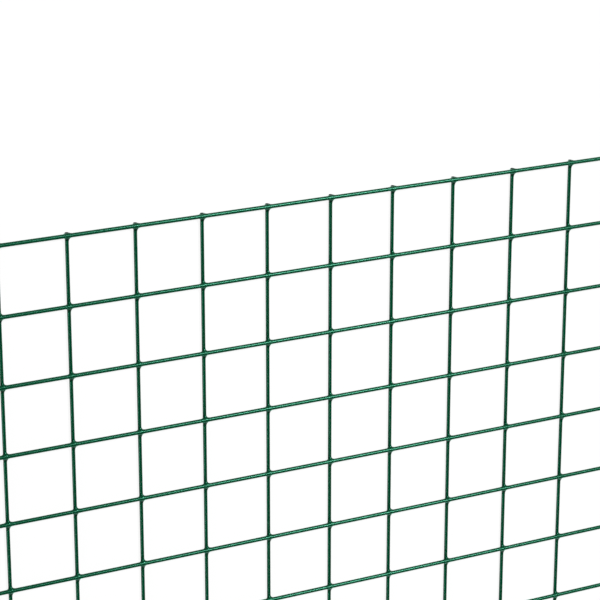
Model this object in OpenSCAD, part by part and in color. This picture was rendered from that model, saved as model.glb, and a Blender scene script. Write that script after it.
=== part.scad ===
// Flat sheet of welded wire fencing: round wires, welded where they cross and
// coated with green plastic. It lies on its cross wires, with the line wires on top.
// The origin is the middle of the sheet, on the surface that it lies on.
// +X runs along the line wires, +Y along the cross wires.

/* [Mesh] */
// Distance between neighbouring wires, centre to centre
pitch = 50.8; // [25.4:0.1:101.6]
// Number of cells along the sheet
cells_long = 24; // [2:1:32]
// Number of cells across the sheet
cells_wide = 12; // [2:1:16]

/* [Wire] */
// Diameter of a line wire over its coat
line_d = 3; // [1.6:0.05:4]
// Diameter of a cross wire over its coat
cross_d = 2.7; // [1.6:0.05:4]
// Number of flats round a wire's section
wire_sides = 8; // [8:4:12]
// Length of wire that stands out past the side of the outermost wire it crosses
stub = 0.2; // [0.1:0.05:10]

/* [Weld] */
// Depth that a line wire is pressed into a cross wire at a weld, over their coats
weld_sink = 0.75; // [0.3:0.05:1]
// Distance that the web of coat in a weld's corners reaches along each wire
web_reach = 3.2; // [2.8:0.1:8]

/* [Hidden] */

coat_green = [0.05, 0.33, 0.21];

length = cells_long * pitch;
width = cells_wide * pitch;

// Heights of the two layers of wires, at their axes
cross_z = cross_d / 2;
line_z = cross_d - weld_sink + line_d / 2;

// Share of a stub that the web in its weld covers
web_share = 0.8;

// A point of the grid, counted from the corner at the low ends of X and Y
function grid_x(i) = i * pitch - length / 2;
function grid_y(j) = j * pitch - width / 2;

// Distance from an outermost wire's axis to the end of a wire that crosses it
function overhang(crossed_d) = crossed_d / 2 + stub;

// Distance that a web reaches along a wire, which may end just past the weld
function reach(crossed_d, ends) =
    ends ? min(web_reach, crossed_d / 2 + stub * web_share) : web_reach;

// A wire along X, with flats above and below, that runs past both outermost welds
module wire(d, span, crossed_d) {
    rotate([0, 90, 0])
        rotate(180 / wire_sides)
            cylinder(
                d = d / cos(180 / wire_sides),
                h = span + 2 * overhang(crossed_d),
                center = true,
                $fn = wire_sides
            );
}

// The coat that fills the corners between two wires, from one axis to the other
module weld_web(i, j) {
    east = reach(cross_d, i == cells_long);
    west = reach(cross_d, i == 0);
    north = reach(line_d, j == cells_wide);
    south = reach(line_d, j == 0);
    translate([grid_x(i), grid_y(j), cross_z])
        linear_extrude(line_z - cross_z)
            polygon([[east, 0], [0, north], [-west, 0], [0, -south]]);
}

// The whole sheet, fused at every weld
module welded_wire_mesh() {
    color(coat_green)
        union() {
            for (j = [0 : cells_wide])
                translate([0, grid_y(j), line_z]) wire(line_d, length, cross_d);
            for (i = [0 : cells_long])
                translate([grid_x(i), 0, cross_z]) rotate(90) wire(cross_d, width, line_d);
            for (i = [0 : cells_long], j = [0 : cells_wide])
                weld_web(i, j);
        }
}

welded_wire_mesh();
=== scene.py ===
"""Dresses a flat sheet of welded wire mesh: round wires under a glossy green plastic coat.

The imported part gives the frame: its box sets the sheet's outline and the heights of the two layers of
wires. The coated wires are one closed surface, worked out with numpy as a skin round both wires of a weld
and repeated over the grid.
"""

import math
from collections import namedtuple

import bpy
import numpy as np
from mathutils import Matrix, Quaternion, Vector


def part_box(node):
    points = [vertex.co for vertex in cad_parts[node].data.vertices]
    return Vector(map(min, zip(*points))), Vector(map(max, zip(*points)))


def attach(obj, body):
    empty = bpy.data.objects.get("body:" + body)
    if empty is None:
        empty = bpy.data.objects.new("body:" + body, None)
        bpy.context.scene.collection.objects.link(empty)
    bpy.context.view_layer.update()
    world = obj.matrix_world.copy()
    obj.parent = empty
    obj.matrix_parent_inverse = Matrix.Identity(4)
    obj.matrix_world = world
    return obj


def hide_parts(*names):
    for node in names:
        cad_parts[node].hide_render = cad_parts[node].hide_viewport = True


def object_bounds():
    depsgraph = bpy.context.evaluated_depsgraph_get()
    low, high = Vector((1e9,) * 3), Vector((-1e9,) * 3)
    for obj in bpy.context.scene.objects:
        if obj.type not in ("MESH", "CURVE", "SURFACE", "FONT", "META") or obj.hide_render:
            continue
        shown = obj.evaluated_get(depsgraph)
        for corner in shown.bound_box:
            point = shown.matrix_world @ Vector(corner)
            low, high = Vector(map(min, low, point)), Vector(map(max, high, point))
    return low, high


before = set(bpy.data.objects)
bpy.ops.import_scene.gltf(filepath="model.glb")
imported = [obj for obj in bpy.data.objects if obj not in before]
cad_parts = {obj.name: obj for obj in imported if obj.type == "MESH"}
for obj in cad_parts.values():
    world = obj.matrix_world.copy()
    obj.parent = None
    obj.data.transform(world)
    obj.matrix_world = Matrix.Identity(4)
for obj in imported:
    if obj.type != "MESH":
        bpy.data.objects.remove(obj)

bl_info = {
    "name": "Welded Wire Mesh Sheet",
    "version": (1, 0, 0),
    "blender": (4, 5, 0),
    "location": "View3D > Sidebar > Wire Mesh",
    "description": "Builds a coated sheet of welded wire mesh and a plain stage for it",
    "category": "Object",
}

MM = 0.001
NODE = "welded_wire_mesh"
BODY = "root"
# Point attribute with the depth of coat in a weld's corners, which sets where the painted shade goes
DEPTH_LAYER = "coat_depth"

CAD_LOW, CAD_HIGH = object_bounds()

# Resolution of one corner of a weld: bands along each wire, and flats round half a wire
BANDS = 4
FLATS = 7
# Share of a wire's radius that is bare steel at a cut end
CORE = 0.9
# Shares of a cut end's rounding at which rings of points lie, on the cut face and behind it
RIM_RINGS = (0.2, 0.8)
# Points along the line under a wire, from which the bands' ends are taken
TRACE_POINTS = 400
# Halvings of the interval in which a ray meets the skin
HALVINGS = 40
# Sides of the round floor, and steps of the bend at its edge
SWEEP_SIDES = 96
COVE_STEPS = 8
# Points of neighbouring patches that are nearer than this are one point
MERGE = 1e-6
# Step over which the slope of a distance is taken
SLOPE_STEP = 1e-6
# Least share of a fillet's reach, at the top and the underside of a weld
LEAST_REACH = 1e-6
# Noise of the coat's clouds, its patches of gloss and its pits, and of the grain of cut steel: scale to the
# metre, detail and roughness
CLOUDS = (45.0, 3.0, 0.55)
GLOSS_PATCHES = (180.0, 2.0, 0.5)
PITS = (1400.0, 2.0, 0.5)
GRAIN = (2500.0, 2.0, 0.6)
# Stretch of a noise's values that is spread out over a whole range
NOISE_SPAN = (0.3, 0.7)
# How strongly the pits in the coat's skin show, and their depth
PIT_STRENGTH = 0.05
PIT_DEPTH = 0.05 * MM
# Places of a Mix node's sockets for colours
MIX_SHARE, MIX_FIRST, MIX_SECOND, MIX_RESULT = 0, 6, 7, 2
# Width of the camera's picture in millimetres, which the focal length goes with
PICTURE_WIDTH = 36.0

# Radii of the upper wire, along X, and of the lower one, along Y, half their height together, the reach of
# the fillet between them and its growth towards +X and +Y, the length of wire that it changes, the rounding
# of a cut end, and the pitch
Weld = namedtuple("Weld", "upper lower half fillet growth arm rim pitch")


class WireMeshSettings(bpy.types.PropertyGroup):
    """Sizes of the mesh that its box doesn't give."""

    pitch: bpy.props.FloatProperty(
        name="Pitch",
        description="Distance between neighbouring wires, centre to centre",
        default=50.8 * MM,
        min=0.01,
        unit="LENGTH",
        precision=4,
    )
    line: bpy.props.FloatProperty(
        name="Line wire",
        description="Diameter of a line wire over its coat",
        default=3.0 * MM,
        min=0.0005,
        unit="LENGTH",
        precision=4,
    )
    cross: bpy.props.FloatProperty(
        name="Cross wire",
        description="Diameter of a cross wire over its coat",
        default=2.7 * MM,
        min=0.0005,
        unit="LENGTH",
        precision=4,
    )
    fillet: bpy.props.FloatProperty(
        name="Fillet",
        description="Distance over which the coats of two crossing wires run into each other",
        default=3.2 * MM,
        min=0.0001,
        unit="LENGTH",
        precision=4,
    )
    sag: bpy.props.FloatProperty(
        name="Sag",
        description="Share by which the fillets are larger on the side of a line wire that hung lower",
        default=0.36,
        min=0.0,
        max=0.9,
        subtype="FACTOR",
    )
    rim: bpy.props.FloatProperty(
        name="Rim",
        description="Distance over which the coat turns in at a cut end",
        default=0.15 * MM,
        min=0.0001,
        unit="LENGTH",
        precision=4,
    )


class CoatSettings(bpy.types.PropertyGroup):
    """Finish of the plastic coat with painted shade in the corners of its welds, and of the steel at a cut
    end.
    """

    thin: bpy.props.FloatVectorProperty(
        name="Thin coat",
        description="Colour where the coat is thinnest",
        default=(0.0003, 0.051, 0.0196),
        min=0.0,
        max=1.0,
        subtype="COLOR",
    )
    cloud: bpy.props.FloatVectorProperty(
        name="Clouds",
        description="Colour of the coat's darker clouds",
        default=(0.0002, 0.0455, 0.0173),
        min=0.0,
        max=1.0,
        subtype="COLOR",
    )
    # Painted shade: a near-black colour laid into the corners of a weld where the coat is deep, standing
    # for the shade below and beside the wires
    painted_shade: bpy.props.FloatVectorProperty(
        name="Thick coat",
        description="Colour where the coat has run together in the corners of a weld",
        default=(0.0, 0.008, 0.003),
        min=0.0,
        max=1.0,
        subtype="COLOR",
    )
    # Depths of coat over which the painted shade in a weld's corners comes in
    shallow: bpy.props.FloatProperty(
        name="Shallow",
        description="Depth of coat up to which a corner is as light as a wire",
        default=0.25 * MM,
        min=0.0,
        unit="LENGTH",
        precision=4,
    )
    deep: bpy.props.FloatProperty(
        name="Deep",
        description="Depth of coat from which a corner is as dark as thick coat",
        default=0.5 * MM,
        min=0.0,
        unit="LENGTH",
        precision=4,
    )
    gleam: bpy.props.FloatVectorProperty(
        name="Gleam",
        description="Colour of the light that the coat's skin throws straight back",
        default=(0.24, 1.0, 0.66),
        min=0.0,
        max=1.0,
        subtype="COLOR",
    )
    haze: bpy.props.FloatProperty(
        name="Haze",
        description="Strength of the haze that the coat's skin shows at a low angle",
        default=1.0,
        min=0.0,
        max=1.0,
        subtype="FACTOR",
    )
    haze_tint: bpy.props.FloatVectorProperty(
        name="Haze tint",
        description="Colour of the haze on the coat's skin",
        default=(0.0, 0.6, 0.35),
        min=0.0,
        max=1.0,
        subtype="COLOR",
    )
    haze_spread: bpy.props.FloatProperty(
        name="Haze spread",
        description="Roughness of the haze: how far in from a wire's outline it shows",
        default=0.3,
        min=0.0,
        max=1.0,
        subtype="FACTOR",
    )
    ior: bpy.props.FloatProperty(
        name="Index",
        description="Index of refraction of the coat's skin",
        default=1.35,
        min=1.0,
        max=3.0,
    )
    smooth: bpy.props.FloatProperty(
        name="Smooth",
        description="Roughness of the glossiest patches",
        default=0.20,
        min=0.0,
        max=1.0,
        subtype="FACTOR",
    )
    dull: bpy.props.FloatProperty(
        name="Dull",
        description="Roughness of the dullest patches",
        default=0.26,
        min=0.0,
        max=1.0,
        subtype="FACTOR",
    )
    steel: bpy.props.FloatVectorProperty(
        name="Steel",
        description="Colour of the steel at a cut end",
        default=(0.002, 0.004, 0.003),
        min=0.0,
        max=1.0,
        subtype="COLOR",
    )
    steel_grain: bpy.props.FloatVectorProperty(
        name="Steel grain",
        description="Colour of the grain in cut steel",
        default=(0.008, 0.012, 0.009),
        min=0.0,
        max=1.0,
        subtype="COLOR",
    )


class StageSettings(bpy.types.PropertyGroup):
    """Floor, light and camera."""

    floor: bpy.props.FloatVectorProperty(
        name="Floor",
        description="Colour of the floor",
        default=(0.08, 0.08, 0.08),
        min=0.0,
        max=1.0,
        subtype="COLOR",
    )
    floor_lift: bpy.props.FloatProperty(
        name="Floor lift",
        description="Light that the floor adds to its own in the picture, so that it comes out white",
        default=0.92,
        min=0.0,
        max=1.0,
        subtype="FACTOR",
    )
    floor_reach: bpy.props.FloatProperty(
        name="Floor reach",
        description="Distance from the sheet's middle to the wall that the floor turns up into",
        default=12.0,
        min=1.0,
        unit="LENGTH",
    )
    cove: bpy.props.FloatProperty(
        name="Cove",
        description="Radius of the bend between the floor and the wall",
        default=1.5,
        min=0.1,
        unit="LENGTH",
    )
    wall: bpy.props.FloatProperty(
        name="Wall",
        description="Height of the wall round the floor",
        default=2.5,
        min=0.1,
        unit="LENGTH",
    )
    sky: bpy.props.FloatProperty(
        name="Sky",
        description="Strength of the even light from all round",
        default=0.02,
        min=0.0,
    )
    key: bpy.props.FloatProperty(
        name="Key light",
        description="Power of the high light past the sheet's far right corner",
        default=205.0,
        min=0.0,
        unit="POWER",
    )
    key_from: bpy.props.FloatVectorProperty(
        name="Key from",
        description="Direction that the key light comes from",
        default=(0.434, 0.50, 0.75),
        subtype="DIRECTION",
    )
    key_size: bpy.props.FloatProperty(
        name="Key size",
        description="Side of the key light",
        default=0.9,
        min=0.01,
        unit="LENGTH",
    )
    fill: bpy.props.FloatProperty(
        name="Fill light",
        description="Power of the low light past the sheet's left end",
        default=110.0,
        min=0.0,
        unit="POWER",
    )
    fill_from: bpy.props.FloatVectorProperty(
        name="Fill from",
        description="Direction that the fill light comes from",
        default=(-0.94, -0.31, 0.16),
        subtype="DIRECTION",
    )
    fill_size: bpy.props.FloatProperty(
        name="Fill size",
        description="Side of the fill light",
        default=1.8,
        min=0.01,
        unit="LENGTH",
    )
    light_far: bpy.props.FloatProperty(
        name="Light distance",
        description="Distance of the lights from the sheet's middle",
        default=4.0,
        min=0.1,
        unit="LENGTH",
    )
    place: bpy.props.FloatVectorProperty(
        name="Camera",
        description="Where the camera stands",
        default=(-0.8140, 0.8077, 1.5329),
        subtype="TRANSLATION",
        unit="LENGTH",
    )
    aim: bpy.props.FloatVectorProperty(
        name="Aim",
        description="Point of the floor in the middle of the picture",
        default=(-0.0239, 0.2302, 0.0),
        subtype="TRANSLATION",
        unit="LENGTH",
    )
    roll: bpy.props.FloatProperty(
        name="Roll",
        description="Turn of the camera about its line of sight",
        default=math.radians(121.615),
        subtype="ANGLE",
        unit="ROTATION",
    )
    lens: bpy.props.FloatProperty(
        name="Lens",
        description="Focal length for a picture 36 mm wide",
        default=151.33,
        min=1.0,
        unit="CAMERA",
    )


def corner_coat(points, weld):
    """Distance from points to the nearer of two crossing wires, and depth of the coat in their corners.

    Measured from the middle of the weld's height, one wire runs along X above and the other along Y
    below. The distance to a wire is that to its axis less its radius. The depth is s * s / (4 * k), where s
    is k less the difference of the two distances, and not under nothing. The reach k fades with the square
    of the height, to nothing at the top of one wire and the underside of the other, and it grows smoothly
    towards the side on which the coat has sagged.
    """
    x, y, z = np.moveaxis(points, -1, 0)
    upper = np.hypot(y, z - weld.half + weld.upper) - weld.upper
    lower = np.hypot(x, z + weld.half - weld.lower) - weld.lower
    lean = weld.growth[0] * x / np.hypot(x, weld.half) + weld.growth[1] * y / np.hypot(y, weld.half)
    reach = weld.fillet * (1.0 + lean) * np.maximum(1.0 - (z / weld.half) ** 2, LEAST_REACH)
    shared = np.maximum(reach - np.abs(upper - lower), 0.0)
    return np.minimum(upper, lower), shared**2 / (4.0 * reach)


def skin_distance(points, weld, end_x, end_y):
    """Distance from points to the skin of two crossing wires, negative inside.

    It is the distance to the nearer wire less the depth of the coat that fills their corners. A wire that
    stops is cut off square, by the larger of this distance and that past the cut, raised by the same
    formula to round the rim.
    """
    nearest, depth = corner_coat(points, weld)
    skin = nearest - depth
    for past in (points[..., 0] - end_x, points[..., 1] - end_y):
        shared = np.maximum(weld.rim - np.abs(skin - past), 0.0)
        skin = np.maximum(skin, past) + shared**2 / (4.0 * weld.rim)
    return skin


def skin_normals(points, weld, end_x, end_y):
    """Unit normals of the skin: the slope of the distance along X, Y and Z, taken over a short step."""
    steps = SLOPE_STEP * np.eye(3)
    slope = [
        skin_distance(points + step, weld, end_x, end_y) - skin_distance(points - step, weld, end_x, end_y)
        for step in steps
    ]
    slope = np.stack(slope, axis=-1)
    return slope / np.linalg.norm(slope, axis=-1, keepdims=True)


def meet_skin(origin, direction, weld, end_x, end_y):
    """Points where rays from inside a weld meet its skin, each found by halving an interval."""
    near = np.zeros(direction.shape[:-1])
    far = np.full(direction.shape[:-1], 2.0 * weld.arm)
    for _ in range(HALVINGS):
        middle = (near + far) / 2.0
        points = origin + middle[..., None] * direction
        inside = skin_distance(points, weld, end_x, end_y) < 0.0
        near = np.where(inside, middle, near)
        far = np.where(inside, far, middle)
    return origin + near[..., None] * direction


def fan(side, rise):
    """Directions from straight up to straight down, one row for each side that they pass through."""
    lean = np.linspace(math.pi / 2, -math.pi / 2, FLATS + 1)[None, :, None]
    direction = np.cos(lean) * side[:, None] + np.sin(lean) * rise[:, None]
    return direction / np.linalg.norm(direction, axis=-1, keepdims=True)


def level(turn):
    """Level directions at these angles from X towards Y."""
    return np.stack([np.cos(turn), np.sin(turn), np.zeros_like(turn)], axis=-1)


def passing_arm(weld, end_y):
    """Eighth of a weld beside a wire along X that runs on, from the middle of a cell to the corner.

    A band's edge lies in a plane through a point of the wire's top line and one of its lower line. The
    lower line is traced in the plane of the wire, from its underside round the fillet to the lowest
    point of the other wire, and shared out by length. The planes turn from square across the wire to
    the corner's diagonal, and in each one rays fan out from midway between the two points.
    """
    share = np.linspace(0.0, 1.0, BANDS + 1)
    underside = weld.half - 2.0 * weld.upper
    crown = 2.0 * weld.lower - weld.half
    dip = np.linspace(math.atan2(crown - underside, weld.arm), math.pi / 2, TRACE_POINTS)
    down = np.stack([np.cos(dip), np.zeros_like(dip), -np.sin(dip)], axis=-1)
    trace = meet_skin(np.array([0.0, 0.0, crown]), down, weld, np.inf, end_y)
    run = np.concatenate([[0.0], np.cumsum(np.linalg.norm(np.diff(trace, axis=0), axis=1))])
    lower = np.stack([np.interp(share * run[-1], run, axis) for axis in trace.T], axis=-1)
    upper = np.stack([weld.arm * (1.0 - share), 0.0 * share, weld.half + 0.0 * share], axis=-1)
    rise = (upper - lower) / np.linalg.norm(upper - lower, axis=-1, keepdims=True)
    side = level(math.pi / 2 - share * math.pi / 4)
    edges = meet_skin((upper + lower)[:, None] / 2.0, fan(side, rise), weld, np.inf, end_y)
    edges[:, 0] = upper
    edges[:, -1] = lower
    plain = edges[:1] + np.array([weld.pitch / 2.0 - weld.arm, 0.0, 0.0])
    return np.concatenate([plain, edges])


def ending_arm(weld, end_x, end_y):
    """Eighth of a weld beside a wire along X that is cut off, from the middle of its end to the corner.

    Rays from the weld's middle point at half rings round the wire's axis: over the cut face, from its
    middle past the edge of the steel to the rim, and behind the rim. The last rays fan out in the upright
    plane of the corner's diagonal, and those before them point midway.
    """
    near, far = np.array(RIM_RINGS) * weld.rim
    back = np.array([0.0, 0.0, 0.0, near, far])
    inset = np.array([1.0, 1.0 - CORE, far / weld.upper, near / weld.upper, 0.0])
    turn = np.linspace(math.pi / 2, -math.pi / 2, FLATS + 1)
    ring = weld.upper * (1.0 - inset[:, None])
    along = np.broadcast_to((end_x - back)[:, None], (len(back), FLATS + 1))
    aim = np.stack([along, ring * np.cos(turn), weld.half - weld.upper + ring * np.sin(turn)], axis=-1)
    rings = aim / np.linalg.norm(aim, axis=-1, keepdims=True)
    corner = fan(level(np.array([math.pi / 4])), np.array([[0.0, 0.0, 1.0]]))
    midway = rings[-1:] + corner
    midway /= np.linalg.norm(midway, axis=-1, keepdims=True)
    return meet_skin(np.zeros(3), np.concatenate([rings, midway, corner]), weld, end_x, end_y)


def weld_arm(weld, end_x, end_y):
    """Eighth of a weld beside the wire along X, as that wire passes or ends."""
    if np.isinf(end_x):
        return passing_arm(weld, end_y)
    return ending_arm(weld, end_x, end_y)


def weld_corner(weld, end_x, end_y):
    """Grid over a weld's corner between +X and +Y: from wire to wire, and from top to underside.

    The eighth beside the other wire is worked out with the wires exchanged, and then has its X and Y
    exchanged and is turned upside down.
    """
    first = weld_arm(weld, end_x, end_y)
    turned = weld._replace(upper=weld.lower, lower=weld.upper, growth=weld.growth[::-1])
    second = weld_arm(turned, end_y, end_x)[::-1, ::-1, [1, 0, 2]] * np.array([1.0, 1.0, -1.0])
    return np.concatenate([first, second[1:]])


def grid_faces(rows, columns):
    """Quads of a grid of points, wound to face away from the weld in the corner between +X and +Y."""
    index = np.arange(rows * columns).reshape(rows, columns)
    corners = [index[:-1, :-1], index[:-1, 1:], index[1:, 1:], index[1:, :-1]]
    return np.stack(corners, axis=-1).reshape(-1, 4)


def repeat_patch(grid, flip, places):
    """Points and quads of one patch at many places."""
    points = (places[:, None] + grid.reshape(-1, 3)).reshape(-1, 3)
    quads = grid_faces(*grid.shape[:2])
    if flip:
        quads = quads[:, ::-1]
    first = np.arange(len(places)) * grid[..., 0].size
    return points, (first[:, None, None] + quads).reshape(-1, 4)


def steel_faces(grid, stops, count):
    """Which quads of a patch and its copies are bare steel.

    They are the middle of a cut end: a grid's first row where the wire along X stops, and its last row
    where the other wire does.
    """
    bare = np.zeros((grid.shape[0] - 1, grid.shape[1] - 1), dtype=bool)
    bare[0] = stops[0]
    bare[-1] = stops[1]
    return np.tile(bare.ravel(), count)


def mesh_skin(weld, cells, overhang):
    """Skin of the whole sheet: points, normals, depths of coat, quads, and which quads are steel.

    A weld's four corners are each worked out between +X and +Y, with the sag mirrored to suit, and then
    mirrored into place. At the sheet's edges the wires are cut off past the outermost welds. Heights are
    from the middle of the welds. Points that patches share are merged.
    """
    steps = np.meshgrid(np.arange(cells[0] + 1), np.arange(cells[1] + 1), indexing="ij")
    steps = np.stack([steps[0].ravel(), steps[1].ravel()], axis=-1)
    centres = np.zeros((len(steps), 3))
    centres[:, :2] = (steps - np.array(cells) / 2.0) * weld.pitch
    points, normals, depths, quads, steel, count = [], [], [], [], [], 0
    for sign in ((1, 1), (-1, 1), (-1, -1), (1, -1)):
        outermost = np.where(np.array(sign) > 0, cells, 0)
        at_edge = steps == outermost
        for stops in ((False, False), (True, False), (False, True), (True, True)):
            places = centres[(at_edge == stops).all(axis=1)]
            ends = np.where(stops, overhang, np.inf)
            leaning = weld._replace(growth=weld.growth * np.array(sign))
            corner = weld_corner(leaning, *ends)
            mirror = np.array([*sign, 1])
            grid = corner * mirror
            facing = skin_normals(corner, leaning, *ends) * mirror
            patch_points, patch_quads = repeat_patch(grid, sign[0] != sign[1], places)
            points.append(patch_points)
            normals.append(np.tile(facing.reshape(-1, 3), (len(places), 1)))
            depths.append(np.tile(corner_coat(corner, leaning)[1].ravel(), len(places)))
            quads.append(patch_quads + count)
            steel.append(steel_faces(grid, stops, len(places)))
            count += len(patch_points)
    points = np.concatenate(points)
    rounded = np.round(points / MERGE).astype(np.int64)
    _, kept, merged = np.unique(rounded, axis=0, return_index=True, return_inverse=True)
    quads = merged.reshape(-1)[np.concatenate(quads)]
    normals, depths = np.concatenate(normals)[kept], np.concatenate(depths)[kept]
    return points[kept], normals, depths, quads, np.concatenate(steel)


def new_mesh(name, points, normals, depths, quads, steel):
    """A smooth mesh of quads with these normals, the depth of the coat, and the second material on steel.

    A quad with a double corner is a triangle.
    """
    distinct = quads != np.roll(quads, -1, axis=1)
    totals = distinct.sum(axis=1)
    starts = np.concatenate([[0], np.cumsum(totals)[:-1]])
    mesh = bpy.data.meshes.new(name)
    mesh.vertices.add(len(points))
    mesh.vertices.foreach_set("co", points.astype(np.float32).ravel())
    mesh.loops.add(int(totals.sum()))
    mesh.loops.foreach_set("vertex_index", quads[distinct].astype(np.int32))
    mesh.polygons.add(len(quads))
    mesh.polygons.foreach_set("loop_start", starts.astype(np.int32))
    mesh.polygons.foreach_set("material_index", steel.astype(np.int32))
    mesh.update(calc_edges=True)
    if mesh.validate():
        raise RuntimeError(f"the mesh {name} had faults")
    mesh.shade_smooth()
    mesh.normals_split_custom_set_from_vertices(normals)
    layer = mesh.attributes.new(DEPTH_LAYER, "FLOAT", "POINT")
    layer.data.foreach_set("value", depths.astype(np.float32))
    return mesh


def rgba(colour):
    """A colour that covers fully, as a socket takes it."""
    return (*colour, 1.0)


def add_node(tree, kind, inputs=None, **settings):
    """A shader node with its settings made, and its inputs set or linked to another node's output."""
    node = tree.nodes.new(kind)
    for name, value in settings.items():
        setattr(node, name, value)
    for name, value in (inputs or {}).items():
        if isinstance(value, bpy.types.NodeSocket):
            tree.links.new(value, node.inputs[name])
        else:
            node.inputs[name].default_value = value
    return node


def add_noise(tree, scale, detail, roughness):
    """Socket of a noise on Object coordinates."""
    place = add_node(tree, "ShaderNodeTexCoord")
    inputs = {"Vector": place.outputs["Object"], "Scale": scale, "Detail": detail, "Roughness": roughness}
    return add_node(tree, "ShaderNodeTexNoise", inputs).outputs["Fac"]


def add_range(tree, value, span, results=(0.0, 1.0), **settings):
    """Socket that goes from one result to the other as a value goes over its span."""
    inputs = {"Value": value, "From Min": span[0], "From Max": span[1]}
    inputs.update({"To Min": results[0], "To Max": results[1]})
    return add_node(tree, "ShaderNodeMapRange", inputs, **settings).outputs["Result"]


def add_mix(tree, share, first, second):
    """Socket of a colour between two others, which a share of 0 and of 1 give."""
    inputs = {MIX_SHARE: share, MIX_FIRST: first, MIX_SECOND: second}
    return add_node(tree, "ShaderNodeMix", inputs, data_type="RGBA").outputs[MIX_RESULT]


def new_material(name):
    """A material with its node tree and its shader."""
    material = bpy.data.materials.new(name)
    material.use_nodes = True
    return material, material.node_tree, material.node_tree.nodes["Principled BSDF"]


def coat_material(coat):
    """Glossy plastic: soft clouds of colour, painted shade in the corners of a weld where the coat is deep,
    patches of gloss, and faint pits.

    A haze in its own tint covers the skin at low angles.
    """
    material, tree, shader = new_material("green_plastic_coat")
    shader.inputs["IOR"].default_value = coat.ior
    shader.inputs["Specular Tint"].default_value = rgba(coat.gleam)
    shader.inputs["Sheen Weight"].default_value = coat.haze
    shader.inputs["Sheen Tint"].default_value = rgba(coat.haze_tint)
    shader.inputs["Sheen Roughness"].default_value = coat.haze_spread

    clouds = add_range(tree, add_noise(tree, *CLOUDS), NOISE_SPAN)
    colour = add_mix(tree, clouds, rgba(coat.cloud), rgba(coat.thin))
    # Painted shade: the corners of a weld go near-black where the coat is deep, most on the -Y side below
    # the line wires, where the sag makes the fillets larger
    depth = add_node(tree, "ShaderNodeAttribute", attribute_name=DEPTH_LAYER).outputs["Fac"]
    deep = add_range(tree, depth, (coat.shallow, coat.deep), interpolation_type="SMOOTHSTEP")
    tree.links.new(add_mix(tree, deep, colour, rgba(coat.painted_shade)), shader.inputs["Base Color"])

    gloss = add_range(tree, add_noise(tree, *GLOSS_PATCHES), NOISE_SPAN, (coat.smooth, coat.dull))
    tree.links.new(gloss, shader.inputs["Roughness"])

    pits = {"Strength": PIT_STRENGTH, "Distance": PIT_DEPTH, "Height": add_noise(tree, *PITS)}
    bump = add_node(tree, "ShaderNodeBump", pits)
    tree.links.new(bump.outputs["Normal"], shader.inputs["Normal"])
    return material


def steel_material(coat):
    """Near-black steel at a cut end, with a fine grain and no shine."""
    material, tree, shader = new_material("cut_steel")
    shader.inputs["Specular IOR Level"].default_value = 0.0
    colour = add_mix(tree, add_noise(tree, *GRAIN), rgba(coat.steel), rgba(coat.steel_grain))
    tree.links.new(colour, shader.inputs["Base Color"])
    return material


def shown_rays(tree):
    """A socket that is 1 for rays from the camera, from gloss and through glass, and 0 for the rest."""
    rays = add_node(tree, "ShaderNodeLightPath").outputs
    shown = rays["Is Camera Ray"]
    for name in ("Is Glossy Ray", "Is Transmission Ray"):
        either = add_node(tree, "ShaderNodeMath", {0: shown, 1: rays[name]}, operation="MAXIMUM")
        shown = either.outputs[0]
    return shown


def floor_material(stage):
    """A matt floor that takes shadows, lifted to white where it is seen."""
    material, tree, shader = new_material("pale_floor")
    tree.nodes.remove(shader)
    matt = add_node(tree, "ShaderNodeBsdfDiffuse", {"Color": rgba(stage.floor)})
    factors = {0: shown_rays(tree), 1: stage.floor_lift}
    lift = add_node(tree, "ShaderNodeMath", factors, operation="MULTIPLY")
    glow = add_node(tree, "ShaderNodeEmission", {"Strength": lift.outputs[0]})
    both = add_node(tree, "ShaderNodeAddShader", {0: matt.outputs[0], 1: glow.outputs[0]})
    tree.links.new(both.outputs[0], tree.nodes["Material Output"].inputs["Surface"])
    return material


def studio_sweep(stage):
    """Mesh of a round floor that turns up into a wall.

    The profile is a quarter circle from the floor's edge, and a straight line above it. It is turned about
    Z, and its lowest ring is the edge of the floor.
    """
    bend = np.linspace(-math.pi / 2, 0.0, COVE_STEPS + 1)
    radius = stage.floor_reach + stage.cove * (np.append(np.cos(bend), 1.0) - 1.0)
    height = np.append(stage.cove * (1.0 + np.sin(bend)), stage.wall)
    turn = np.linspace(0.0, 2.0 * math.pi, SWEEP_SIDES + 1)[:-1]
    points = level(turn) * radius[:, None, None]
    points[..., 2] += CAD_LOW.z + height[:, None]
    rings = np.arange(len(radius) * SWEEP_SIDES).reshape(-1, SWEEP_SIDES)
    ahead = np.roll(rings, -1, axis=1)
    walls = np.stack([rings[:-1], rings[1:], ahead[1:], ahead[:-1]], axis=-1).reshape(-1, 4)
    mesh = bpy.data.meshes.new("floor")
    mesh.from_pydata(points.reshape(-1, 3), [], [rings[0].tolist(), *walls.tolist()])
    mesh.materials.append(floor_material(stage))
    return mesh


def studio_world(stage):
    """Even light from all round."""
    world = bpy.data.worlds.new("studio")
    world.use_nodes = True
    background = world.node_tree.nodes["Background"]
    background.inputs["Color"].default_value = (1.0, 1.0, 1.0, 1.0)
    background.inputs["Strength"].default_value = stage.sky
    return world


def add_light(name, direction, distance, size, power):
    """Put up a square area light in this direction, facing the origin."""
    data = bpy.data.lights.new(name, "AREA")
    data.size = size
    data.energy = power
    light = bpy.data.objects.new(name, data)
    bpy.context.scene.collection.objects.link(light)
    light.location = Vector(direction).normalized() * distance
    light.rotation_mode = "QUATERNION"
    light.rotation_quaternion = (-light.location).to_track_quat("-Z", "Y")


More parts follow.
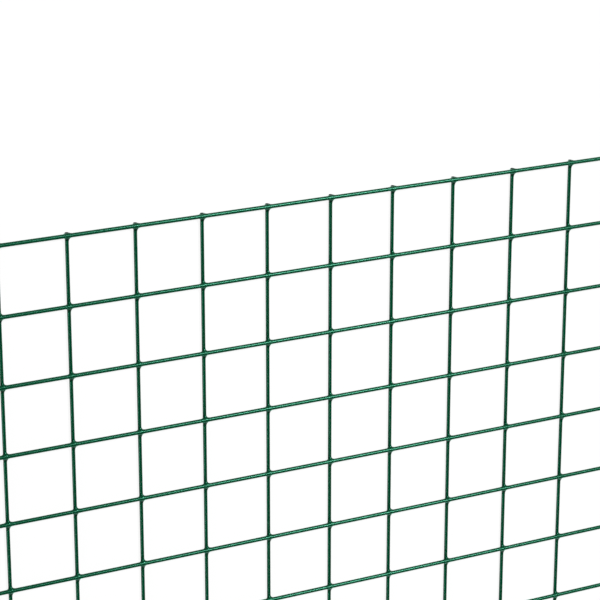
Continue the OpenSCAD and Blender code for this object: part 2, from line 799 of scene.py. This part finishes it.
class WIREMESH_OT_sheet(bpy.types.Operator):
    """Build the coated mesh in place of the plain one"""

    bl_idname = "wiremesh.sheet"
    bl_label = "Build Mesh Sheet"

    def execute(self, context):
        sizes = context.scene.wire_mesh
        low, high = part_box(NODE)
        upper, lower = sizes.line / 2.0, sizes.cross / 2.0
        half = (high.z - low.z) / 2.0
        # The coat hung towards -Y as it set
        growth = np.array([0.0, -sizes.sag])
        arm = sizes.fillet * (1.0 + sizes.sag) + max(upper, lower)
        weld = Weld(upper, lower, half, sizes.fillet, growth, arm, sizes.rim, sizes.pitch)
        extent = np.array(high - low)[:2]
        cells = np.floor(extent / weld.pitch).astype(int)
        overhang = (extent - cells * weld.pitch) / 2.0
        points, *layers = mesh_skin(weld, cells, overhang)
        mesh = new_mesh("coated_mesh", points + np.array((low + high) / 2.0), *layers)
        mesh.materials.append(coat_material(context.scene.wire_coat))
        mesh.materials.append(steel_material(context.scene.wire_coat))
        piece = bpy.data.objects.new("coated_mesh", mesh)
        context.scene.collection.objects.link(piece)
        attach(piece, BODY)
        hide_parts(NODE)
        return {"FINISHED"}


class WIREMESH_OT_stage(bpy.types.Operator):
    """Build the floor, the lights and the camera"""

    bl_idname = "wiremesh.stage"
    bl_label = "Build Stage"

    def execute(self, context):
        scene = context.scene
        stage = scene.wire_stage
        floor = bpy.data.objects.new("floor", studio_sweep(stage))
        scene.collection.objects.link(floor)

        scene.world = studio_world(stage)
        add_light("key_light", stage.key_from, stage.light_far, stage.key_size, stage.key)
        add_light("fill_light", stage.fill_from, stage.light_far, stage.fill_size, stage.fill)

        data = bpy.data.cameras.new("camera")
        data.lens = stage.lens
        data.sensor_width = PICTURE_WIDTH
        camera = bpy.data.objects.new("camera", data)
        scene.collection.objects.link(camera)
        sight = Vector(stage.aim) - Vector(stage.place)
        roll = Quaternion((0.0, 0.0, 1.0), stage.roll)
        camera.location = stage.place
        camera.rotation_mode = "QUATERNION"
        camera.rotation_quaternion = sight.to_track_quat("-Z", "Y") @ roll
        scene.camera = camera
        scene.view_settings.view_transform = "Standard"
        return {"FINISHED"}


class WIREMESH_PT_panel(bpy.types.Panel):
    """Lists what builds the sheet, with its sizes and colours"""

    bl_idname = "WIREMESH_PT_panel"
    bl_label = "Wire Mesh"
    bl_space_type = "VIEW_3D"
    bl_region_type = "UI"
    bl_category = "Wire Mesh"

    def draw(self, context):
        layout = self.layout
        for group in ("wire_mesh", "wire_coat", "wire_stage"):
            settings = getattr(context.scene, group)
            for name in settings.bl_rna.properties.keys():
                if name not in ("rna_type", "name"):
                    layout.prop(settings, name)
        layout.operator(WIREMESH_OT_sheet.bl_idname)
        layout.operator(WIREMESH_OT_stage.bl_idname)


CLASSES = (
    WireMeshSettings,
    CoatSettings,
    StageSettings,
    WIREMESH_OT_sheet,
    WIREMESH_OT_stage,
    WIREMESH_PT_panel,
)


def register():
    for cls in CLASSES:
        bpy.utils.register_class(cls)
    bpy.types.Scene.wire_mesh = bpy.props.PointerProperty(type=WireMeshSettings)
    bpy.types.Scene.wire_coat = bpy.props.PointerProperty(type=CoatSettings)
    bpy.types.Scene.wire_stage = bpy.props.PointerProperty(type=StageSettings)


def unregister():
    del bpy.types.Scene.wire_mesh
    del bpy.types.Scene.wire_coat
    del bpy.types.Scene.wire_stage
    for cls in reversed(CLASSES):
        bpy.utils.unregister_class(cls)


def main():
    register()
    bpy.ops.wiremesh.sheet()
    bpy.ops.wiremesh.stage()


if __name__ == "__main__":
    main()
